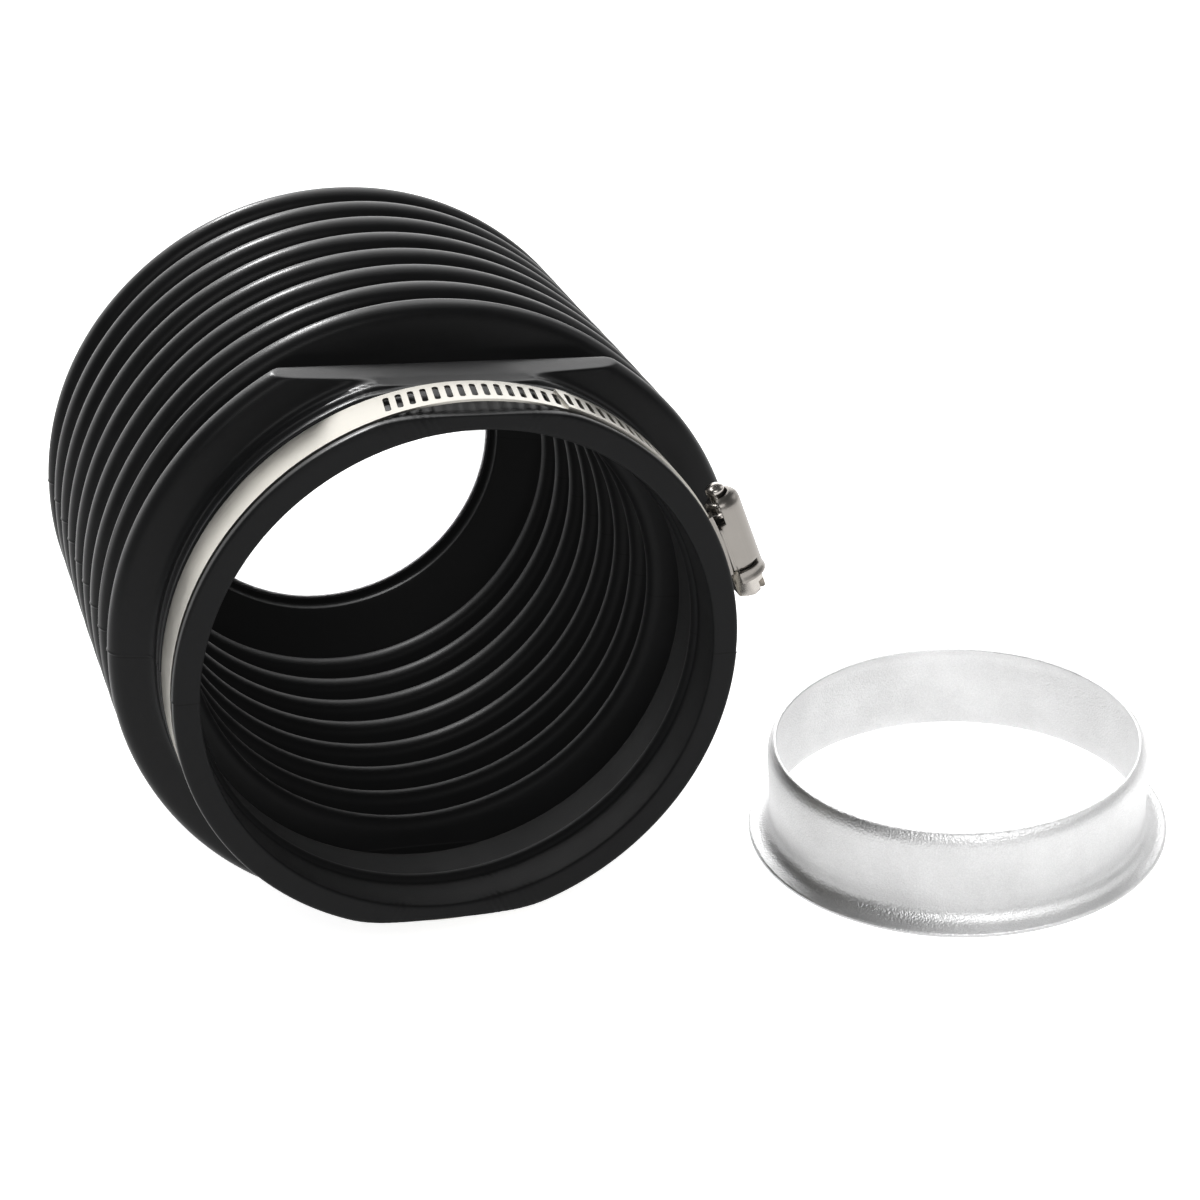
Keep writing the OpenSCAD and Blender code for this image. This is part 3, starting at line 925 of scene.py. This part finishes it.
def box_mesh(low, high):
    """A box's points and faces from its two extreme corners."""
    verts = [(x, y, z) for x in (low[0], high[0]) for y in (low[1], high[1]) for z in (low[2], high[2])]
    faces = [(0, 1, 3, 2), (4, 6, 7, 5), (0, 4, 5, 1), (2, 3, 7, 6), (0, 2, 6, 4), (1, 5, 7, 3)]
    return verts, faces


build_housing()
build_screw()

for name, material in (("clamp_band", BAND_STEEL), ("clamp_band_tail", BAND_STEEL),
                       ("clamp_saddle", CAST_STEEL)):
    solid = frame["nodes"][name]
    solid.data.materials.clear()
    solid.data.materials.append(material)

# ---------------------------------------------------------------- studio

def build_floor():
    """A floor that curves up into a backdrop."""
    half, reach, rise, bend, steps = 14.0, 3.2, 4.5, 1.6, 24
    outline = [(-half, 0.0), (reach, 0.0)]
    for i in range(1, steps + 1):
        a = math.radians(90 * i / steps)
        outline.append((reach + bend * math.sin(a), bend * (1 - math.cos(a))))
    outline.append((reach + bend, rise))
    verts, faces = [], []
    for y, z in outline:
        verts += [(-half, y, FLOOR_Z + z), (half, y, FLOOR_Z + z)]
    for i in range(len(outline) - 1):
        faces.append((2 * i, 2 * i + 1, 2 * i + 3, 2 * i + 2))
    mesh = bpy.data.meshes.new("studio_floor")
    mesh.from_pydata(verts, [], faces)
    mesh.materials.append(floor_material())
    mesh.polygons.foreach_set("use_smooth", [True] * len(mesh.polygons))
    floor = bpy.data.objects.new("studio_floor", mesh)
    bpy.context.scene.collection.objects.link(floor)


def made_of(*materials):
    """A collection of the pieces that have one of these materials, for a lamp that lights only them."""
    group = bpy.data.collections.new("made_of_" + materials[0].name)
    for obj in bpy.data.objects:
        if any(slot.material in materials for slot in obj.material_slots):
            group.objects.link(obj)
    return group


def softbox(name, place, target, size, power, only=None):
    """A lamp at a place, turned to its target; power in watts; only is what it lights, if not all."""
    light = bpy.data.lights.new(name, "AREA")
    light.shape = "RECTANGLE"
    light.size, light.size_y = size
    light.energy = power
    obj = bpy.data.objects.new(name, light)
    bpy.context.scene.collection.objects.link(obj)
    obj.location = place
    obj.rotation_euler = (Vector(target) - Vector(place)).to_track_quat("-Z", "Y").to_euler()
    if only:
        obj.light_linking.receiver_collection = only
    return obj


def build_studio():
    """The floor, the lamps, the world's light and the view's black level."""
    build_floor()
    middle = (0.04, 0.06, 0.0)
    # Most lamps light some materials only, as a photographer would flag and mask them.
    rubber = made_of(RUBBER)
    clamp = made_of(BAND_STEEL, CAST_STEEL, SCREW_STEEL)
    sleeves = made_of(ALUMINIUM)
    all_but_clamp = made_of(RUBBER, ALUMINIUM, bpy.data.materials["studio_floor"])
    softbox("top_softbox", (0.0, 1.15, 1.7), middle, (2.4, 1.6), 24, all_but_clamp)
    softbox("backdrop_panel", (-0.5, 2.7, 0.95), (0.0, 0.0, 0.1), (6.4, 2.1), 60)
    softbox("right_softbox", (1.5, 0.1, 0.8), middle, (0.8, 1.0), 3)
    softbox("front_softbox", (-0.35, -1.35, 0.9), middle, (0.9, 0.6), 6)
    softbox("left_fill_rubber", (-2.0, 0.9, 0.55), middle, (1.6, 1.0), 3, rubber)
    softbox("right_fill_rubber", (0.6, 1.1, 1.4), middle, (1.6, 1.2), 16, rubber)
    softbox("over_fill_rubber", (0.2, 0.3, 1.8), middle, (2.0, 1.0), 12, rubber)
    softbox("clamp_key", (-1.2, 0.6, 1.2), middle, (1.5, 1.2), 26, clamp)
    softbox("sleeve_fill", (0.5, -1.2, 1.3), (0.14, 0.0, -0.08), (2.6, 1.8), 24, sleeves)
    streak = softbox("crest_lamp", (-0.24, 1.42, 1.34), (-0.05, 0.06, 0.05), (0.18, 0.18), 50, rubber)
    # It shows only as a streak on the crests.
    streak.visible_diffuse = False
    world = bpy.data.worlds.new("studio_world")
    world.use_nodes = True
    colour, strength = world.node_tree.nodes["Background"].inputs[:2]
    colour.default_value = (1, 1, 1, 1)
    strength.default_value = 0.10
    bpy.context.scene.world = world
    looks = bpy.context.scene.view_settings
    looks.view_transform = "Standard"
    # A white studio spills a little light over the whole picture.
    spill = 0.0025
    looks.use_curve_mapping = True
    looks.curve_mapping.black_level = (-spill, -spill, -spill)
    looks.curve_mapping.update()


def build_camera():
    """The camera, from above the mouth's left; it is turned, tipped down and rolled a little."""
    place = (-135.292, -581.741, 326.818)
    yaw, pitch, roll = (math.radians(v) for v in (-17.446, 27.522, -3.021))
    forward = Vector((-math.sin(yaw) * math.cos(pitch), math.cos(yaw) * math.cos(pitch), -math.sin(pitch)))
    right = Vector((math.cos(yaw), math.sin(yaw), 0))
    up = right.cross(forward)
    cam_x = math.cos(roll) * right + math.sin(roll) * up
    cam_y = -math.sin(roll) * right + math.cos(roll) * up
    data = bpy.data.cameras.new("camera")
    data.sensor_width = 36
    data.lens = 79.46
    data.shift_x, data.shift_y = -0.03226, 0.00984
    data.clip_start, data.clip_end = 0.05, 40
    camera = bpy.data.objects.new("camera", data)
    bpy.context.scene.collection.objects.link(camera)
    turn = Matrix((cam_x, cam_y, -forward)).transposed().to_4x4()
    camera.matrix_world = Matrix.Translation(Vector(place) * MM) @ turn
    bpy.context.scene.camera = camera


build_studio()
build_camera()
